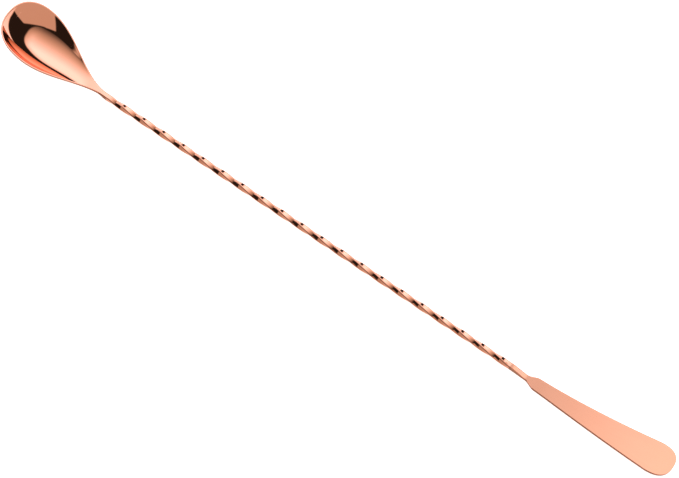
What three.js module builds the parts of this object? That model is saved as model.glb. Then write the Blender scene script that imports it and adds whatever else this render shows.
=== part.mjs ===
// Bar spoon: a teardrop bowl, a stem of square bar twisted along its length, and a flat stirring
// paddle, butt-welded end to end. Millimetres, +Z up, +X from the bowl to the paddle.
//
// Each function works in spoon coordinates: x from the bowl's tip, z from the stem's axis. The group
// at the end moves them to the part's frame, whose origin is under the middle of the spoon, on the
// surface that it lies on.

import * as THREE from 'three';
import { LoftGeometry } from 'three/addons/geometries/LoftGeometry.js';
import { mergeVertices } from 'three/addons/utils/BufferGeometryUtils.js';

// Whole spoon
const LENGTH = 335;
const AXIS_HEIGHT = 1.58; // stem axis above the surface that the stem's ridges lie on

// Square bar of the stem, and its twist
const BAR = 2.54;
const BAR_CORNER = 0.52;
const TWIST_START = 53.5;
const TWIST_PITCH = 10.107; // length of one quarter turn
const QUARTER_TURNS = 20;
const STRAIGHT_END = 0.4; // untwisted bar between the twist and each weld
const WELD_LENGTH = 0.8;

// Bowl, seen from above
const BOWL_WIDTH = 26.8;
const WIDEST_AT = 14.3;
const FLARE_END = 52;
const TIP_POWER = 2.28;
const NECK_WIDTH = 2.15;
const NECK_SWELL_START = 47.5;

// Bowl, seen from the side
const RIM_RISE = 15.6;
const RISE_START = 52.3;
const RISE_END = -6.9;
const BOWL_DEPTH = 6.8;
const CAVITY_END = 44;
const CUP = 0.8; // how much of a quarter ellipse the dish follows, from its middle to its rim

// Walls and edges of the bowl
const RIM = 0.6;
const WALL = 0.95;
const RIM_EDGE = 0.85; // height of the rim's outer edge
const RIM_ROUND = 0.15;
const NECK_THICKNESS = 1.4;
const THICKEN_START = 36;

// Paddle
const PADDLE_THICKNESS = 1.3;
const PADDLE_CORNER = 0.3;
const PADDLE_DROP = 0.93; // the plate lies this far below the stem's axis
const FLATTENED_AT = 266;
const SHOULDER_START = 265;
const SHOULDER_END = 270.5;
const SHOULDER_WIDTH = 6.0;
const PADDLE_WIDTH = 14.7;
const FLARE_POWER = 1.25;
const BEND_START = 274;
const END_RISE = 6.9;
const END_CAP = 9;
const END_POWER = 2.6;

// Mesh steps
const STEPS_PER_QUARTER = 7;
const ACROSS = 8;

const TWIST_END = TWIST_START + QUARTER_TURNS * TWIST_PITCH;
const STEM_START = TWIST_START - STRAIGHT_END;
const STEM_END = TWIST_END + STRAIGHT_END;
const NECK_END = STEM_START - WELD_LENGTH;
const PADDLE_START = STEM_END + WELD_LENGTH;

// Eased step: 0 before a, 1 after b, level at both ends.
const ease = ( x, a, b ) => THREE.MathUtils.smoothstep( x, a, b );

const blend = THREE.MathUtils.lerp;

// Height of the side of a dish of depth 1, from 0 in its middle to 1 at its rim, at a place e of
// the way across an outline that starts at the given tip. Up to the widest place, the dish closes
// round the outline's own curve.
function dish( x, e, tip ) {

	const along = THREE.MathUtils.clamp( ( WIDEST_AT - x ) / ( WIDEST_AT - tip ), 0, 1 );
	const [ ends, sides ] = [ along ** TIP_POWER, e ** TIP_POWER ];
	const out = ( ends + sides * ( 1 - ends ) ) ** ( 1 / TIP_POWER );
	return ( 1 - Math.sqrt( 1 - ( CUP * out ) ** 2 ) ) / ( 1 - Math.sqrt( 1 - CUP ** 2 ) );

}

// The same for a flat face with a rounded corner, e of the way out to a side that is this far off.
function flatAndCorner( width, e, corner ) {

	const out = THREE.MathUtils.clamp( 1 - ( 1 - e ) * width / corner, 0, 1 );
	return 1 - Math.sqrt( 1 - out ** 2 );

}

// Rounded end of an outline: 0 at its tip, 1 at its full width, t running from 0 to 1 between them.
function roundedEnd( t, power ) {

	return ( 1 - ( 1 - t ) ** power ) ** ( 1 / power );

}

// A closed body from a geometry: seams merged, collapsed triangles dropped, faces outwards.
function closedBody( geometry ) {

	const bare = new THREE.BufferGeometry();
	bare.setIndex( geometry.getIndex() );
	bare.setAttribute( 'position', geometry.getAttribute( 'position' ) );
	const merged = mergeVertices( bare, 1e-4 );
	const p = merged.getAttribute( 'position' );
	const index = merged.getIndex().array;
	const kept = [];
	const [ a, b, c ] = [ new THREE.Vector3(), new THREE.Vector3(), new THREE.Vector3() ];
	let volume = 0;

	for ( let i = 0; i < index.length; i += 3 ) {

		const [ ia, ib, ic ] = [ index[ i ], index[ i + 1 ], index[ i + 2 ] ];
		if ( ia === ib || ib === ic || ic === ia ) continue;
		kept.push( ia, ib, ic );
		a.fromBufferAttribute( p, ia );
		b.fromBufferAttribute( p, ib );
		c.fromBufferAttribute( p, ic );
		volume += a.dot( b.cross( c ) );

	}

	if ( volume < 0 ) kept.reverse();
	merged.setIndex( kept );
	merged.computeVertexNormals();
	return merged;

}

// The right half of a cross-section, from its top to its bottom, with the left half mirrored on.
function wholeLoop( x, half ) {

	const right = half.map( ( [ y, z ] ) => new THREE.Vector3( x, y, z ) );
	const left = half.slice( 1, - 1 ).reverse().map( ( [ y, z ] ) => new THREE.Vector3( x, - y, z ) );
	return [ ...right, ...left ];

}

// Every point of a flat end section drawn in to its middle, which closes the end of a loft.
function endPoint( section ) {

	const middle = new THREE.Vector3();
	section.forEach( ( point ) => middle.addScaledVector( point, 1 / section.length ) );
	return section.map( () => middle );

}

// Stations from a to b, crowded towards a when power is over 1; a itself is left out.
function stations( a, b, count, power = 1 ) {

	return Array.from( { length: count }, ( _, i ) => a + ( b - a ) * ( ( i + 1 ) / count ) ** power );

}

// Bowl outline: a rounded tip up to the widest place, then half a cosine wave down to the neck.
function bowlHalfWidth( x ) {

	const half = BOWL_WIDTH / 2;
	if ( x < WIDEST_AT ) return half * roundedEnd( x / WIDEST_AT, TIP_POWER );
	const t = Math.min( ( x - WIDEST_AT ) / ( FLARE_END - WIDEST_AT ), 1 );
	const flare = blend( NECK_WIDTH / 2, half, ( 1 + Math.cos( Math.PI * t ) ) / 2 );
	return flare + ( BAR - NECK_WIDTH ) / 2 * ease( x, NECK_SWELL_START, NECK_END );

}

// The same outline inside the rim, whose width narrows towards the neck.
function cavityHalfWidth( x ) {

	if ( x < RIM ) return 0;
	const half = BOWL_WIDTH / 2 - RIM;
	if ( x < WIDEST_AT ) return half * roundedEnd( ( x - RIM ) / ( WIDEST_AT - RIM ), TIP_POWER );
	return bowlHalfWidth( x ) - blend( RIM, BAR_CORNER, ease( x, WIDEST_AT, NECK_END ) );

}

// Height of the rim, and of the neck's upper face beyond it.
function rimHeight( x ) {

	return BAR / 2 + RIM_RISE * ( 1 - ease( x, RISE_END, RISE_START ) );

}

// One cross-section of the bowl and neck: dished top, rim, outer edge, and rounded underside.
function bowlSection( x ) {

	const width = bowlHalfWidth( x );
	const inner = cavityHalfWidth( x );
	const top = rimHeight( x );
	const neck = ease( x, THICKEN_START, FLARE_END );
	const bar = ease( x, NECK_SWELL_START, NECK_END );
	const thickness = blend( blend( WALL, NECK_THICKNESS, neck ), BAR, bar );
	const round = Math.min( blend( RIM_ROUND, BAR_CORNER, neck ), width );
	const edge = blend( RIM_EDGE, thickness - BAR_CORNER, neck );
	const depth = BOWL_DEPTH * ( 1 - ease( x, WIDEST_AT, CAVITY_END ) );
	const drop = depth + thickness - edge;
	const half = [];

	for ( let i = 0; i <= ACROSS; i ++ ) {

		const e = i / ACROSS;
		half.push( [ inner * e, top - depth * ( 1 - dish( x, e, RIM ) ) ] );

	}

	half.push( [ width - round, top ] );
	half.push( [ width - round * ( 1 - Math.SQRT1_2 ), top - round * ( 1 - Math.SQRT1_2 ) ] );
	half.push( [ width, top - round ] );

	for ( let i = ACROSS; i >= 0; i -- ) {

		const e = Math.sin( Math.PI / 2 * i / ACROSS );
		const under = blend( dish( x, e, 0 ), flatAndCorner( width, e, BAR_CORNER ), neck );
		half.push( [ width * e, top - edge - drop * ( 1 - under ) ] );

	}

	return wholeLoop( x, half );

}

function spoonBowl() {

	const places = [
		0,
		...stations( 0, RIM, 3, 2 ),
		...stations( RIM, WIDEST_AT, 13, 1.7 ),
		...stations( WIDEST_AT, CAVITY_END, 18 ),
		...stations( CAVITY_END, NECK_END, 9 ),
	];
	const sections = places.map( bowlSection );
	return closedBody( new LoftGeometry( [ ...sections, endPoint( sections.at( - 1 ) ) ] ) );

}

// Outline of the square bar with its rounded corners.
function barShape() {

	const flat = BAR / 2 - BAR_CORNER;
	const shape = new THREE.Shape();
	shape.absarc( flat, flat, BAR_CORNER, 0, Math.PI / 2 );
	shape.absarc( - flat, flat, BAR_CORNER, Math.PI / 2, Math.PI );
	shape.absarc( - flat, - flat, BAR_CORNER, Math.PI, Math.PI * 3 / 2 );
	shape.absarc( flat, - flat, BAR_CORNER, Math.PI * 3 / 2, Math.PI * 2 );
	return shape;

}

// A length of bar along +X, from one place to another, turned about its axis by turn(x).
function barBetween( start, end, steps, turn ) {

	const options = { depth: end - start, steps, curveSegments: 1, bevelEnabled: false };
	const geometry = new THREE.ExtrudeGeometry( barShape(), options );
	const p = geometry.getAttribute( 'position' );

	for ( let i = 0; i < p.count; i ++ ) {

		const along = start + p.getZ( i );
		const angle = turn( along );
		const y = p.getX( i ) * Math.cos( angle ) - p.getY( i ) * Math.sin( angle );
		const z = p.getX( i ) * Math.sin( angle ) + p.getY( i ) * Math.cos( angle );
		p.setXYZ( i, along, y, z );

	}

	return closedBody( geometry );

}

// Right-handed twist, with a flat face of the bar upwards at both ends.
function twistedStem() {

	const turn = ( x ) => {

		const turned = THREE.MathUtils.clamp( ( x - TWIST_START ) / TWIST_PITCH, 0, QUARTER_TURNS );
		return turned * Math.PI / 2;

	};

	return barBetween( STEM_START, STEM_END, QUARTER_TURNS * STEPS_PER_QUARTER, turn );

}

// Weld metal of a butt joint, dressed flush with the bar.
function buttWeld( start ) {

	return barBetween( start, start + WELD_LENGTH, 1, () => 0 );

}

// Paddle outline: the bar's width, a rounded shoulder, a slow flare, and a blunt rounded end.
function paddleHalfWidth( x ) {

	const neck = blend( BAR, SHOULDER_WIDTH, ease( x, SHOULDER_START, SHOULDER_END ) ) / 2;
	const capStart = LENGTH - END_CAP;
	const t = THREE.MathUtils.clamp( ( x - SHOULDER_END ) / ( capStart - SHOULDER_END ), 0, 1 );
	const flare = ( PADDLE_WIDTH - SHOULDER_WIDTH ) / 2 * t ** FLARE_POWER;
	const cap = roundedEnd( Math.min( ( LENGTH - x ) / END_CAP, 1 ), END_POWER );
	return ( neck + flare ) * cap;

}

// Height of the paddle's middle plane: down from the stem, level at the heel, then curving up.
function paddleHeight( x ) {

	const bent = Math.max( x - BEND_START, 0 ) / ( LENGTH - BEND_START );
	return - PADDLE_DROP * ease( x, PADDLE_START, FLATTENED_AT ) + END_RISE * bent ** 2;

}

// One cross-section of the paddle: a rectangle with rounded corners.
function paddleSection( x ) {

	const flat = ease( x, PADDLE_START, FLATTENED_AT );
	const width = paddleHalfWidth( x );
	const high = blend( BAR, PADDLE_THICKNESS, flat ) / 2;
	const round = Math.min( blend( BAR_CORNER, PADDLE_CORNER, flat ), width );
	const middle = paddleHeight( x );
	const half = [ [ 0, middle + high ] ];

	for ( const side of [ 1, - 1 ] ) {

		for ( let i = 0; i <= 2; i ++ ) {

			const angle = Math.PI / 4 * ( side > 0 ? 2 - i : i );
			const y = width - round + round * Math.cos( angle );
			half.push( [ y, middle + side * ( high - round + round * Math.sin( angle ) ) ] );

		}

	}

	half.push( [ 0, middle - high ] );
	return wholeLoop( x, half );

}

function stirPaddle() {

	const places = [
		PADDLE_START,
		...stations( PADDLE_START, FLATTENED_AT, 8 ),
		...stations( FLATTENED_AT, BEND_START, 6 ),
		...stations( BEND_START, LENGTH - END_CAP, 14 ),
		...stations( LENGTH, LENGTH - END_CAP, 9, 1.8 ).reverse().slice( 1 ),
		LENGTH,
	];
	const sections = places.map( paddleSection );
	return closedBody( new LoftGeometry( [ endPoint( sections[ 0 ] ), ...sections ] ) );

}

// Copper plate, polished before plating so that it mirrors. The weld metal is plated with the rest.
function copperPlate( roughness ) {

	return new THREE.MeshStandardMaterial( { color: 0xf8b294, roughness, metalness: 1 } );

}

function piece( name, geometry, material ) {

	const mesh = new THREE.Mesh( geometry, material );
	mesh.name = name;
	return mesh;

}

const spoon = new THREE.Group();
spoon.position.set( - LENGTH / 2, 0, AXIS_HEIGHT );
spoon.add( piece( 'spoon_bowl', spoonBowl(), copperPlate( 0.06 ) ) );
spoon.add( piece( 'bowl_weld', buttWeld( NECK_END ), copperPlate( 0.12 ) ) );
spoon.add( piece( 'twisted_stem', twistedStem(), copperPlate( 0.1 ) ) );
spoon.add( piece( 'paddle_weld', buttWeld( STEM_END ), copperPlate( 0.12 ) ) );
spoon.add( piece( 'stir_paddle', stirPaddle(), copperPlate( 0.06 ) ) );

const part = new THREE.Group();
part.add( spoon );

export default part;
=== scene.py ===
"""Bar spoon: a pressed bowl, a twisted square bar and a forged paddle, welded and copper plated.

Shapes are worked out in spoon coordinates, in millimetres: x from the bowl's tip, z from the stem's
axis. placed() turns them into metres in the part's frame.
"""

import math

import bmesh
import bpy
import numpy as np
from mathutils import Matrix, Vector


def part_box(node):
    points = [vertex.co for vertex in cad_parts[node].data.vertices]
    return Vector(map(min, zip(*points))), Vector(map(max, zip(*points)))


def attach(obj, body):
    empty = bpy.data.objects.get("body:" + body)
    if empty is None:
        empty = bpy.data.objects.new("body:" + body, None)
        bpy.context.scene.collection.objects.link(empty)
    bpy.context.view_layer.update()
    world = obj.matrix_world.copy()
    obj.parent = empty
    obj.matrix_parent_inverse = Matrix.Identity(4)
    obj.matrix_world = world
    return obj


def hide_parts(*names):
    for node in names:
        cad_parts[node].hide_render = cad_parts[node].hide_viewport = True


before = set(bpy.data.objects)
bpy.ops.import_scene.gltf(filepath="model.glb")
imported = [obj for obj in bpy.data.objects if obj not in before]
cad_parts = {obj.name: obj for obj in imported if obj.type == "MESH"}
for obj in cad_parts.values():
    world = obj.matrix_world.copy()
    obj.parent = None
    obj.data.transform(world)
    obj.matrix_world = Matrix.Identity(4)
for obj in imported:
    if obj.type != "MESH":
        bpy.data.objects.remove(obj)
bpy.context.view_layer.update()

MM = 0.001

# Where the pieces start and end, from the frame
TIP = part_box("spoon_bowl")[0].x
AXIS_HEIGHT = sum(corner.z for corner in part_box("bowl_weld")) / 2
NECK_END = (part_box("spoon_bowl")[1].x - TIP) / MM
STEM_START = (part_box("twisted_stem")[0].x - TIP) / MM
STEM_END = (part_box("twisted_stem")[1].x - TIP) / MM
PADDLE_START = (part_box("stir_paddle")[0].x - TIP) / MM
LENGTH = (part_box("stir_paddle")[1].x - TIP) / MM
BAR = (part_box("bowl_weld")[1].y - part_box("bowl_weld")[0].y) / MM

# Square bar and its twist
BAR_CORNER = 0.523  # 3 micrometres over the CAD's, so that true arcs stay inside its facets
TWIST_START = 53.5
TWIST_PITCH = 10.107
QUARTER_TURNS = 20

# Bowl
BOWL_WIDTH = 26.8
WIDEST_AT = 14.3
FLARE_END = 52
TIP_POWER = 2.28
NECK_WIDTH = 2.15
NECK_SWELL_START = 47.5
RIM_RISE = 15.6
RISE_START = 52.3
RISE_END = -6.9
BOWL_DEPTH = 6.8
CAVITY_END = 44
CUP = 0.8
RIM = 0.6
WALL = 0.95
RIM_EDGE = 0.85
RIM_ROUND = 0.15
LIP_ROUND = 0.12
NECK_THICKNESS = 1.4
THICKEN_START = 36

# Paddle
PADDLE_THICKNESS = 1.3
PADDLE_CORNER = 0.3
PADDLE_DROP = 0.93
FLATTENED_AT = 266
SHOULDER_START = 265
SHOULDER_END = 270.5
SHOULDER_WIDTH = 6.0
PADDLE_WIDTH = 14.7
FLARE_POWER = 1.25
BEND_START = 274
END_RISE = 6.9
END_CAP = 9
END_POWER = 2.6

END_BAND = 0.02  # a ring this close to a square-cut end keeps the shading of the sides off the end


def ease(x, a, b):
    """Eased step: 3 t squared minus 2 t cubed, with t from 0 at a to 1 at b."""
    t = np.clip((x - a) / (b - a), 0, 1)
    return t * t * (3 - 2 * t)


def mixed(a, b, t):
    """a at t = 0, b at t = 1, in a straight line between."""
    return a + (b - a) * t


def rounded_end(t, power):
    """Superellipse quarter: the power-th root of 1 minus (1 - t) to the power."""
    return (1 - (1 - np.clip(t, 0, 1)) ** power) ** (1 / power)


def placed(x, y, z):
    """Spoon coordinates in millimetres to metres in the part's frame, as one array of points."""
    x, y, z = np.broadcast_arrays(x, y, z)
    return np.stack([TIP + x * MM, y * MM, AXIS_HEIGHT + z * MM], axis=-1)


def surface_piece(name, node, slot, material, points, along, around):
    """A closed piece from a grid of points, rows along it and columns round it; the last column
    repeats the first. Its UV map holds how far along and around each point is, in metres. Rows or
    columns that fall on one point or line are merged, which closes poles and seams."""
    rows, columns = points.shape[:2]
    index = np.arange(rows * columns).reshape(rows, columns)
    faces = np.stack([index[:-1, :-1], index[1:, :-1], index[1:, 1:], index[:-1, 1:]], axis=-1)
    faces = faces.reshape(-1, 4)
    lay = np.stack(np.broadcast_arrays(along, around), axis=-1).reshape(-1, 2) * MM
    mesh = bpy.data.meshes.new(name)
    mesh.from_pydata(points.reshape(-1, 3).tolist(), [], faces.tolist())
    mesh.uv_layers.new(name="lay").data.foreach_set("uv", lay[faces.ravel()].ravel())

    shell = bmesh.new()
    shell.from_mesh(mesh)
    bmesh.ops.remove_doubles(shell, verts=shell.verts, dist=1e-7)
    bmesh.ops.dissolve_degenerate(shell, edges=shell.edges, dist=1e-8)
    bmesh.ops.recalc_face_normals(shell, faces=shell.faces)
    shell.to_mesh(mesh)
    shell.free()
    mesh.shade_smooth()
    mesh.materials.append(material)

    piece = bpy.data.objects.new(name, mesh)
    bpy.context.scene.collection.objects.link(piece)
    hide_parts(node)
    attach(piece, "root")
    return piece


# ---------------------------------------------------------------- bowl

def bowl_half_width(x):
    """Superellipse from the tip to the widest place, half a cosine wave from there to the neck,
    and an eased swell to the bar's width at the weld."""
    half = BOWL_WIDTH / 2
    t = np.clip((x - WIDEST_AT) / (FLARE_END - WIDEST_AT), 0, 1)
    flare = mixed(NECK_WIDTH / 2, half, (1 + np.cos(np.pi * t)) / 2)
    flare = flare + (BAR - NECK_WIDTH) / 2 * ease(x, NECK_SWELL_START, NECK_END)
    return np.where(x < WIDEST_AT, half * rounded_end(x / WIDEST_AT, TIP_POWER), flare)


def rim_height(x):
    """The rim rises from the bar's upper face in one long eased step, past the tip."""
    return BAR / 2 + RIM_RISE * (1 - ease(x, RISE_END, RISE_START))


def dish(out):
    """Side of a dish, 0 in its middle and 1 at its rim: an ellipse's arc, out of the way across."""
    out = np.minimum(out, 1)
    return (1 - np.sqrt(1 - (CUP * out) ** 2)) / (1 - math.sqrt(1 - CUP ** 2))


def bowl_grid():
    """Rays go out from the centre line to the outline, over the rim and back underneath. Beyond the
    widest place they are square to the centre line. Before it, they fan out from one point, and a
    point at angle a on a superellipse has the 2/n-th powers of cos a and sin a as its coordinates.
    Each ray's height is the rim's, less the dish's depth at its share of the way out. The first and
    last rows are drawn in to the neck's middle, so that the two halves close its end."""
    side_rows, fan_rows = 190, 150
    crowding = 0.85  # rows crowd a little towards the widest place
    dish_columns, side_columns, lip_columns, edge_columns, wall_columns = 46, 22, 13, 8, 16
    side_from = 0.9  # share of the way out where the dish's steep side takes closer columns
    beyond = NECK_END - (NECK_END - WIDEST_AT) * np.linspace(0, 1, side_rows) ** crowding
    beyond = np.concatenate([[NECK_END, NECK_END - END_BAND], beyond[1:]])
    fan = np.linspace(math.pi / 2, -math.pi / 2, 2 * fan_rows + 1)[1:-1]
    x_mid = np.concatenate([beyond, np.full(fan.size, WIDEST_AT), beyond[::-1]])
    zero = np.zeros(beyond.size)
    reach = np.concatenate([zero, np.abs(np.cos(fan)) ** (2 / TIP_POWER), zero])
    side = np.sign(np.sin(fan)) * np.abs(np.sin(fan)) ** (2 / TIP_POWER)
    side = np.concatenate([zero + 1, side, zero - 1])

    half_out = bowl_half_width(x_mid)
    half_in = half_out - mixed(RIM, BAR_CORNER, ease(x_mid, WIDEST_AT, NECK_END))
    neck = ease(x_mid, THICKEN_START, FLARE_END)
    thick = mixed(mixed(WALL, NECK_THICKNESS, neck), BAR, ease(x_mid, NECK_SWELL_START, NECK_END))
    edge = mixed(RIM_EDGE, thick - BAR_CORNER, neck)
    bend = mixed(RIM_ROUND, BAR_CORNER, neck)
    fade = 1 - ease(x_mid, WIDEST_AT, CAVITY_END)

    def ray(out_mm_x, out_mm_y):
        """Points out along every ray: x and y for reaches given towards the tip and sideways."""
        return x_mid - reach * out_mm_x, side * out_mm_y

    xs, ys, zs = [], [], []

    def add_column(reach_x, reach_y, height):
        x, y = ray(reach_x, reach_y)
        xs.append(x)
        ys.append(y)
        zs.append(height(x))

    steep = (CUP ** 2 / math.sqrt(1 - CUP ** 2)) / (1 - math.sqrt(1 - CUP ** 2))

    def cavity(share):
        """Depth below the rim line; a smooth maximum with zero rounds the inner lip."""
        inside = BOWL_DEPTH * (1 - dish(share))
        outside = -BOWL_DEPTH * steep * np.maximum(share - 1, 0)
        raw = inside + outside
        return fade * (raw + np.sqrt(raw * raw + LIP_ROUND ** 2)) / 2

    half_tip_in, half_tip_out = WIDEST_AT - RIM, WIDEST_AT
    shares = np.concatenate([
        np.linspace(0, side_from, dish_columns),
        side_from + (1 - side_from) * np.linspace(0, 1, side_columns)[1:] ** 0.7,
    ])
    for share in shares:
        depth = cavity(share)
        add_column(share * half_tip_in, share * half_in, lambda x, d=depth: rim_height(x) - d)
    flat_y, flat_x = half_out - half_in - bend, RIM - bend
    for t in np.linspace(0, 1, lip_columns)[1:] ** 1.6:
        past_y = half_in + t * flat_y
        share = 1 + t * flat_y / np.maximum(half_in, 0.3)
        depth = cavity(share)
        add_column(half_tip_in + t * flat_x, past_y, lambda x, d=depth: rim_height(x) - d)
    for angle in np.linspace(0, math.pi / 2, edge_columns)[1:]:
        back = bend * (1 - math.sin(angle))
        down = bend * (1 - math.cos(angle))
        add_column(half_tip_out - back, half_out - back, lambda x, d=down: rim_height(x) - d)
    under_shares = np.concatenate([
        1 - (1 - side_from) * np.linspace(0, 1, wall_columns) ** 1.5,
        np.linspace(side_from, 0, dish_columns)[1:],
    ])
    for share in under_shares:
        corner = np.clip(1 - (1 - share) * half_out / BAR_CORNER, 0, 1)
        under = mixed(dish(share), 1 - np.sqrt(1 - corner ** 2), neck)
        drop = edge + (BOWL_DEPTH * fade + thick - edge) * (1 - under)
        add_column(share * half_tip_out, share * half_out, lambda x, d=drop: rim_height(x) - d)

    x, y = np.stack(xs, 1), np.stack(ys, 1)
    points = placed(x, y, np.stack(zs, 1))
    neck_middle = np.broadcast_to(placed(NECK_END, 0, 0), points[:1].shape)
    points = np.concatenate([neck_middle, points, neck_middle])
    return points, np.concatenate([x[:1], x, x[-1:]]), np.concatenate([y[:1], y, y[-1:]])


def closed_ends(points, start, end):
    """The same grid with a row at each flat end drawn in to that end's middle, which closes it."""
    rows = [points]
    if start:
        rows.insert(0, np.broadcast_to(points[:1].mean(1, keepdims=True), points[:1].shape))
    if end:
        rows.append(np.broadcast_to(points[-1:].mean(1, keepdims=True), points[-1:].shape))
    return np.concatenate(rows)


# ---------------------------------------------------------------- stem, welds

def bar_section():
    """Square with rounded corners: y and z round one loop, and the length round to each point."""
    flat = BAR / 2 - BAR_CORNER
    arc = np.linspace(0, math.pi / 2, 9)
    y, z = [], []
    for quarter in range(4):
        angle = arc + quarter * math.pi / 2
        middle = math.pi / 4 + quarter * math.pi / 2
        y.append(math.copysign(flat, math.cos(middle)) + BAR_CORNER * np.cos(angle))
        z.append(math.copysign(flat, math.sin(middle)) + BAR_CORNER * np.sin(angle))
    y, z = np.concatenate(y), np.concatenate(z)
    y, z = np.append(y, y[0]), np.append(z, z[0])
    corners = np.concatenate([[0], np.cumsum(np.hypot(np.diff(y), np.diff(z)))])
    filled = np.unique(np.concatenate([corners, np.linspace(0, corners[-1], 65)]))
    return np.interp(filled, corners, y), np.interp(filled, corners, z), filled


def bar_grid(start, end, rows):
    """Bar section carried along x and turned right-handed about it: a quarter turn every pitch."""
    y, z, around = bar_section()
    x = np.linspace(start, end, rows)
    x = np.concatenate([[start, start + END_BAND], x[1:-1], [end - END_BAND, end]])
    turn = np.clip((x - TWIST_START) / TWIST_PITCH, 0, QUARTER_TURNS)[:, None] * math.pi / 2
    turned_y = y * np.cos(turn) - z * np.sin(turn)
    turned_z = y * np.sin(turn) + z * np.cos(turn)
    points = placed(x[:, None], turned_y, turned_z)
    along = np.concatenate([[start], x, [end]])[:, None]
    return closed_ends(points, True, True), along, around


# ---------------------------------------------------------------- paddle

def paddle_grid():
    """Rounded rectangle carried along x. Its width swells from the bar's to the shoulder's in an
    eased step, then with distance to a power, and closes in a superellipse. It drops to lie flat,
    then rises with the square of the distance."""
    cap = LENGTH - END_CAP
    x = np.concatenate([
        [PADDLE_START, PADDLE_START + END_BAND],
        np.linspace(PADDLE_START, BEND_START, 90)[1:],
        np.linspace(BEND_START, cap, 90)[1:],
        LENGTH - END_CAP * (1 - np.linspace(0, 1, 80)[1:]) ** 2.6,
    ])[:, None]
    flat = ease(x, PADDLE_START, FLATTENED_AT)
    neck = mixed(BAR, SHOULDER_WIDTH, ease(x, SHOULDER_START, SHOULDER_END)) / 2
    t = np.clip((x - SHOULDER_END) / (cap - SHOULDER_END), 0, 1)
    width = neck + (PADDLE_WIDTH - SHOULDER_WIDTH) / 2 * t ** FLARE_POWER
    width = width * rounded_end((LENGTH - x) / END_CAP, END_POWER)
    high = mixed(BAR, PADDLE_THICKNESS, flat) / 2
    bend = np.minimum(mixed(BAR_CORNER, PADDLE_CORNER, flat), width)
    rise = np.clip((x - BEND_START) / (LENGTH - BEND_START), 0, 1)
    middle = -PADDLE_DROP * flat + END_RISE * rise ** 2

    arc = np.linspace(0, math.pi / 2, 9)
    faces = np.linspace(1, -1, 17)
    y, z = [], []
    for side_y, side_z in ((1, 1), (-1, 1), (-1, -1), (1, -1)):
        turn = arc if side_y == side_z else arc[::-1]
        y.append(side_y * (width - bend + bend * np.cos(turn)))
        z.append(middle + side_z * (high - bend + bend * np.sin(turn)))
        if side_y == side_z:
            inner = faces[1:-1] * side_y
            y.append((width - bend) * inner)
            z.append(middle + side_z * high + 0 * inner)
    y.append(y[0][:, :1])
    z.append(z[0][:, :1])
    y, z = np.concatenate(y, 1), np.concatenate(z, 1)
    points = closed_ends(placed(x, y, z), True, False)
    around = np.concatenate([y[:1], y])
    return points, np.concatenate([x[:1], x]), around


# ---------------------------------------------------------------- materials

def linear(hex_colour):
    """An sRGB hex colour as linear red, green, blue and 1."""
    channels = [int(hex_colour[i:i + 2], 16) / 255 for i in (1, 3, 5)]
    return (*[c / 12.92 if c <= 0.04045 else ((c + 0.055) / 1.055) ** 2.4 for c in channels], 1)


def add(tree, kind, settings=None, links=None):
    """Adds one node. Settings name its properties or inputs; links give each input's source."""
    node = tree.nodes.new(kind)
    for name, value in (settings or {}).items():
        if hasattr(node, name) and name not in node.inputs:
            setattr(node, name, value)
        else:
            node.inputs[name].default_value = value
    for name, source in (links or {}).items():
        tree.links.new(source, node.inputs[name])
    return node


def new_material(name):
    """An empty material and its tree, ready for nodes."""
    material = bpy.data.materials.new(name)
    material.use_nodes = True
    material.node_tree.nodes.clear()
    return material, material.node_tree


COPPER = "#F6AF93"
COPPER_WARM = "#F4A98B"
EDGE_PAINTED_SHADE = "#8A5A45"

# How steep a face has to be, as the share of its normal that points up, to take the painted edge
# shade
EDGE_FULL, EDGE_NONE = 0.2, 0.45

# Sizes of the plate's patterns, in millimetres
TONE_PATCH = 14  # slow change of the plate's colour
CLOTH_MARK = 1.5  # haze that the polishing cloth leaves
HAIRLINE_LENGTH, HAIRLINE_SPACING, HAIRLINE_DEPTH = 6, 0.15, 0.002
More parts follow.
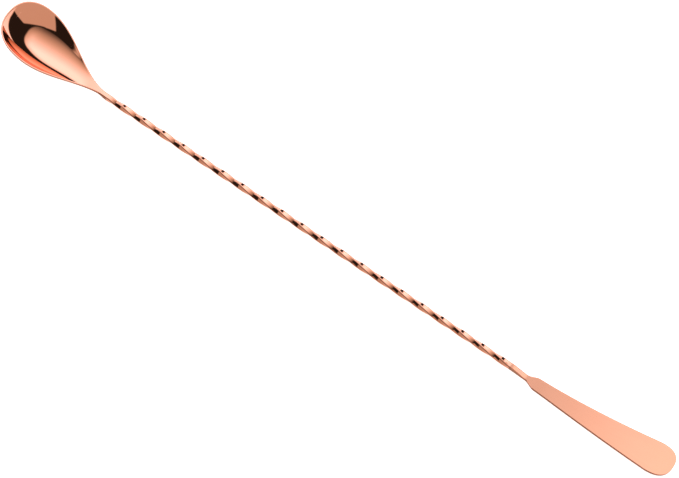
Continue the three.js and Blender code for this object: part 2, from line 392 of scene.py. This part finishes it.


# Bright copper electroplate over mirror-polished steel: a pink metal mirror. The eye sees the room
# in it, softened where the polishing cloth left a haze and by fine hairlines along the piece. Steep
# faces get a painted brown shade, which draws a thin dark line round the bowl and the paddle.
def copper_plate(name, roughness, haze, hairline, edge_painted_shade):
    material, tree = new_material(name)
    coordinates = add(tree, "ShaderNodeTexCoord")
    place = coordinates.outputs["Object"]
    lay = add(tree, "ShaderNodeUVMap", {"uv_map": "lay"}).outputs["UV"]

    tone = add(
        tree, "ShaderNodeTexNoise",
        {"Scale": 1 / (TONE_PATCH * MM), "Detail": 2.0}, {"Vector": place},
    )
    plate = add(tree, "ShaderNodeMix", {"data_type": "RGBA"}, {0: tone.outputs["Fac"]})
    plate.inputs[6].default_value = linear(COPPER)
    plate.inputs[7].default_value = linear(COPPER_WARM)
    normal = add(tree, "ShaderNodeSeparateXYZ", None, {0: coordinates.outputs["Normal"]})
    steep = add(tree, "ShaderNodeMath", {"operation": "ABSOLUTE"}, {0: normal.outputs["Z"]})
    # Painted shade: faces that stand steep are mixed towards a dark brown, drawing a thin dark line
    # along the edges.
    painted_edge_shade = add(
        tree, "ShaderNodeMapRange",
        {"From Min": EDGE_FULL, "From Max": EDGE_NONE, "To Min": edge_painted_shade, "To Max": 0.0},
        {"Value": steep.outputs["Value"]},
    )
    colour = add(
        tree, "ShaderNodeMix", {"data_type": "RGBA"},
        {0: painted_edge_shade.outputs["Result"], 6: plate.outputs[2]},
    )
    colour.inputs[7].default_value = linear(EDGE_PAINTED_SHADE)

    cloth = add(
        tree, "ShaderNodeTexNoise",
        {"Scale": 1 / (CLOTH_MARK * MM), "Detail": 4.0}, {"Vector": place},
    )
    rough = add(
        tree, "ShaderNodeMapRange",
        {"To Min": roughness, "To Max": roughness + haze}, {"Value": cloth.outputs["Fac"]},
    )
    # Hairlines: noise stretched along the piece. They are too fine to see one by one at this
    # distance, and blur the mirror a little across them.
    drawn = add(tree, "ShaderNodeMapping", None, {"Vector": lay})
    stretch = (1 / (HAIRLINE_LENGTH * MM), 1 / (HAIRLINE_SPACING * MM), 1)
    drawn.inputs["Scale"].default_value = stretch
    lines = add(
        tree, "ShaderNodeTexNoise", {"Scale": 1.0, "Detail": 2.0}, {"Vector": drawn.outputs["Vector"]}
    )
    relief = add(
        tree, "ShaderNodeBump", {"Strength": hairline, "Distance": HAIRLINE_DEPTH * MM},
        {"Height": lines.outputs["Fac"]},
    )
    shader = add(
        tree, "ShaderNodeBsdfPrincipled", {"Metallic": 1.0},
        {"Base Color": colour.outputs[2], "Roughness": rough.outputs["Result"],
         "Normal": relief.outputs["Normal"]},
    )
    add(tree, "ShaderNodeOutputMaterial", None, {"Surface": shader.outputs["BSDF"]})
    return material


mirror_plate = copper_plate("copper_electroplate_mirror_polished", 0.02, 0.03, 0.15, 0.8)
bar_plate = copper_plate("copper_electroplate_over_twisted_bar", 0.04, 0.05, 0.3, 0.0)
weld_plate = copper_plate("copper_electroplate_over_dressed_weld", 0.08, 0.06, 0.6, 0.0)

# ---------------------------------------------------------------- pieces

MIRROR_SLOT = "copper_plate_mirror"
BAR_SLOT = "copper_plate_twisted_bar"
WELD_SLOT = "copper_plate_dressed_weld"
STEM_ROWS, WELD_ROWS = 420, 9

surface_piece("bowl_pressing", "spoon_bowl", MIRROR_SLOT, mirror_plate, *bowl_grid())
surface_piece("stem_bar", "twisted_stem", BAR_SLOT, bar_plate,
              *bar_grid(STEM_START, STEM_END, STEM_ROWS))
surface_piece("bowl_weld_metal", "bowl_weld", WELD_SLOT, weld_plate,
              *bar_grid(NECK_END, STEM_START, WELD_ROWS))
surface_piece("paddle_weld_metal", "paddle_weld", WELD_SLOT, weld_plate,
              *bar_grid(STEM_END, PADDLE_START, WELD_ROWS))
surface_piece("paddle_forging", "stir_paddle", MIRROR_SLOT, mirror_plate, *paddle_grid())

# ---------------------------------------------------------------- camera

SPOON_TILT = math.radians(5.9)  # the bowl's end is nearer the camera
SPOON_ROLL = math.radians(25)  # the camera looks past one side
FRAME_TURN = math.radians(33.687)  # the spoon slopes down across the frame
DISTANCE = 903.8 * MM
LENS = 114.3
AIM = Vector((0.8 * MM, 0, AXIS_HEIGHT))
AIM_UP = 4.53 * MM

away = Vector((
    math.sin(SPOON_TILT),
    -math.sin(SPOON_ROLL) * math.cos(SPOON_TILT),
    math.cos(SPOON_ROLL) * math.cos(SPOON_TILT),
))
across = Vector((0, math.cos(SPOON_ROLL), math.sin(SPOON_ROLL)))
along_spoon = across.cross(away)
right = math.cos(FRAME_TURN) * along_spoon + math.sin(FRAME_TURN) * across
up = away.cross(right)
camera_data = bpy.data.cameras.new("camera")
camera_data.lens = LENS
camera_data.sensor_width = 36
camera_data.clip_start = 0.01
camera_data.clip_end = 20
camera = bpy.data.objects.new("camera", camera_data)
turn = Matrix((right, up, away)).transposed().to_4x4()
camera.matrix_world = Matrix.Translation(AIM + AIM_UP * across + DISTANCE * away) @ turn
bpy.context.scene.collection.objects.link(camera)
bpy.context.scene.camera = camera

# ---------------------------------------------------------------- studio

scene = bpy.context.scene
scene.view_settings.view_transform = "Standard"
scene.view_settings.look = "None"


def flat_card(name, middle, facing, width, height, material, top=Vector((0, 1, 0))):
    """A plain rectangle of the stage, facing a direction."""
    facing = facing.normalized()
    side = top.cross(facing).normalized()
    rise = facing.cross(side)
    corners = [middle + side * (sx * width / 2) + rise * (sy * height / 2)
               for sx, sy in ((-1, -1), (1, -1), (1, 1), (-1, 1))]
    mesh = bpy.data.meshes.new(name)
    mesh.from_pydata([list(c) for c in corners], [], [(0, 1, 2, 3)])
    mesh.materials.append(material)
    card = bpy.data.objects.new(name, mesh)
    bpy.context.scene.collection.objects.link(card)
    return card


def direction(azimuth, elevation):
    """Unit vector at an azimuth from +X towards +Y and an elevation, both in degrees."""
    a, e = math.radians(azimuth), math.radians(elevation)
    return (math.cos(a) * math.cos(e), math.sin(a) * math.cos(e), math.sin(e))


# The paper is lit from under as well as over, so that it stays clean white round the spoon.
PAPER_GLOW = 0.8
PAPER_SIZE = 6  # metres
floor_paper, tree = new_material("white_paper_floor")
shader = add(
    tree, "ShaderNodeBsdfPrincipled",
    {"Base Color": linear("#F4F4F4"), "Roughness": 0.9, "Emission Color": linear("#FFFFFF"),
     "Emission Strength": PAPER_GLOW},
)
add(tree, "ShaderNodeOutputMaterial", None, {"Surface": shader.outputs["BSDF"]})
up_from_floor = Vector((0, 0, 1))
paper = flat_card(
    "paper_floor", Vector((0, 0, 0)), up_from_floor, PAPER_SIZE, PAPER_SIZE, floor_paper
)
paper.visible_glossy = False

# A small cloth hangs low over the paddle, dimmer towards the stem. It shows only in reflections.
PADDLE_CLOTH_MIDDLE = (119, 52, 100)
PADDLE_CLOTH_FACING = (88, 0, -273)  # edge on to the bowl, so that the bowl hardly mirrors it
PADDLE_CLOTH_ACROSS, PADDLE_CLOTH_ALONG = 80, 56
CLOTH_DIM_AT, CLOTH_BRIGHT_AT = 107, 130
CLOTH_DIM, CLOTH_BRIGHT = 0.92, 1.36
CLOTH_COLOUR = (0.97, 1, 1, 1)
cloth, tree = new_material("white_cotton_cloth_lit_from_above")
cloth_place = add(tree, "ShaderNodeTexCoord").outputs["Object"]
spot = add(tree, "ShaderNodeSeparateXYZ", None, {0: cloth_place})
strength = add(
    tree, "ShaderNodeMapRange",
    {"From Min": CLOTH_DIM_AT * MM, "From Max": CLOTH_BRIGHT_AT * MM,
     "To Min": CLOTH_DIM, "To Max": CLOTH_BRIGHT}, {"Value": spot.outputs["X"]},
)
glow = add(tree, "ShaderNodeEmission", None, {"Strength": strength.outputs["Result"]})
glow.inputs["Color"].default_value = CLOTH_COLOUR
add(tree, "ShaderNodeOutputMaterial", None, {"Surface": glow.outputs["Emission"]})
low_cloth = flat_card(
    "paddle_cloth", Vector(PADDLE_CLOTH_MIDDLE) * MM, Vector(PADDLE_CLOTH_FACING),
    PADDLE_CLOTH_ALONG * MM, PADDLE_CLOTH_ACROSS * MM, cloth,
)
low_cloth.visible_camera = False
low_cloth.visible_diffuse = False
low_cloth.visible_shadow = False

# The room is dark, with soft cloths hung round the spoon. One wide cloth is overhead, brightest
# towards the far side. A dimmer one hangs in front, a bright one past the bowl, and a strip of the
# dark room shows between them. White paper lies underneath.
DARK_ROOM = 0.02
OVERHEAD_MIDDLE, OVERHEAD_HALF_ANGLE = (121, 74), 52.5
OVERHEAD_LIGHT, OVERHEAD_ALONG, OVERHEAD_ACROSS, OVERHEAD_MOST = 0.95, -0.5, 1.3, 1.75
OVERHEAD_EDGE_LIGHT, OVERHEAD_FADE = 0.6, 0.2
FRONT_TOP = ((-87, 45), (16, 33))
FRONT_LEFT, FRONT_RIGHT = -87, 17
FRONT_LIGHT = 0.65
END_FROM, END_TO, END_LIGHT = 108, -113, 1.3
PAPER_LIGHT, PAPER_ACROSS = 1.0, 0.5
PAPER_EDGE, PAPER_EDGE_SOFT = 0.09, 0.06

world = bpy.data.worlds.new("soft_cloths")
world.use_nodes = True
room = world.node_tree
room.nodes.clear()
look = add(room, "ShaderNodeTexCoord").outputs["Generated"]


def along_of(vector):
    """How far the looked-at direction points along a fixed one, from -1 to 1."""
    node = add(room, "ShaderNodeVectorMath", {"operation": "DOT_PRODUCT"}, {0: look})
    node.inputs[1].default_value = vector
    return node.outputs["Value"]


def past(value, start, width, low=0.0, high=1.0):
    """Eased step of a value: low before start, high a width after it."""
    return add(
        room, "ShaderNodeMapRange",
        {"interpolation_type": "SMOOTHSTEP", "From Min": start, "From Max": start + width,
         "To Min": low, "To Max": high}, {"Value": value},
    ).outputs["Result"]


def worked(operation, *values):
    """Two or three values or numbers put together by a Math node."""
    node = add(room, "ShaderNodeMath", {"operation": operation})
    for i, value in enumerate(values):
        if isinstance(value, bpy.types.NodeSocket):
            room.links.new(value, node.inputs[i])
        else:
            node.inputs[i].default_value = value
    return node.outputs["Value"]


def covered(under, over, share):
    """The light of one thing, where another covers it by a share."""
    return worked("MULTIPLY_ADD", worked("SUBTRACT", over, under), share, under)


SOFT = 0.05  # softness of an edge, as a difference of direction
toward_x, toward_y, toward_z = (along_of(v) for v in ((1, 0, 0), (0, 1, 0), (0, 0, 1)))

end_share = worked(
    "MULTIPLY",
    past(along_of(direction(END_FROM + 90, 0)), 0, SOFT),
    past(along_of(direction(END_TO - 90, 0)), 0, SOFT),
)
edge_cos = math.cos(math.radians(OVERHEAD_HALF_ANGLE))
overhead_in = along_of(direction(*OVERHEAD_MIDDLE))
overhead = worked("MULTIPLY_ADD", toward_x, OVERHEAD_ALONG, OVERHEAD_LIGHT)
overhead = worked("MULTIPLY_ADD", toward_y, OVERHEAD_ACROSS, overhead)
overhead = worked("MINIMUM", overhead, OVERHEAD_MOST)
overhead_fade = past(overhead_in, edge_cos, OVERHEAD_FADE, OVERHEAD_EDGE_LIGHT, 1)
overhead = worked("MULTIPLY", overhead, overhead_fade)
front_top = Vector(direction(*FRONT_TOP[0])).cross(Vector(direction(*FRONT_TOP[1]))).normalized()
front_share = worked(
    "MULTIPLY",
    past(along_of(-front_top), 0, SOFT),
    worked(
        "MULTIPLY",
        past(along_of(direction(FRONT_LEFT + 90, 0)), 0, SOFT),
        past(along_of(direction(FRONT_RIGHT - 90, 0)), 0, SOFT),
    ),
)
paper_light = worked("MULTIPLY_ADD", toward_y, PAPER_ACROSS, PAPER_LIGHT)
light = covered(DARK_ROOM, END_LIGHT, end_share)
light = covered(light, overhead, past(overhead_in, edge_cos, SOFT))
light = covered(light, FRONT_LIGHT, front_share)
light = covered(light, paper_light, past(toward_z, PAPER_EDGE, -PAPER_EDGE_SOFT))
seen = add(room, "ShaderNodeLightPath").outputs["Is Camera Ray"]
# Dim cloths look warm and bright ones slightly cool. The backdrop that the camera sees is white.
WARM, COOL, WHITE = (1.05, 0.93, 0.80, 1), (0.97, 1.05, 1.2, 1), (1, 1, 1, 1)
WARM_LIGHT, COOL_LIGHT = 0.5, 1.7


def tinted(share, low, high):
    """A colour between two others; either is a fixed colour or a node's output."""
    node = add(room, "ShaderNodeMix", {"data_type": "RGBA"}, {0: share})
    for socket, colour in ((6, low), (7, high)):
        if isinstance(colour, tuple):
            node.inputs[socket].default_value = colour
        else:
            room.links.new(colour, node.inputs[socket])
    return node.outputs[2]


cloth_colour = tinted(past(light, WARM_LIGHT, COOL_LIGHT - WARM_LIGHT), WARM, COOL)
sky = add(
    room, "ShaderNodeBackground", None,
    {"Color": tinted(seen, cloth_colour, WHITE), "Strength": covered(light, 1.0, seen)},
)
add(room, "ShaderNodeOutputWorld", None, {"Surface": sky.outputs["Background"]})
scene.world = world
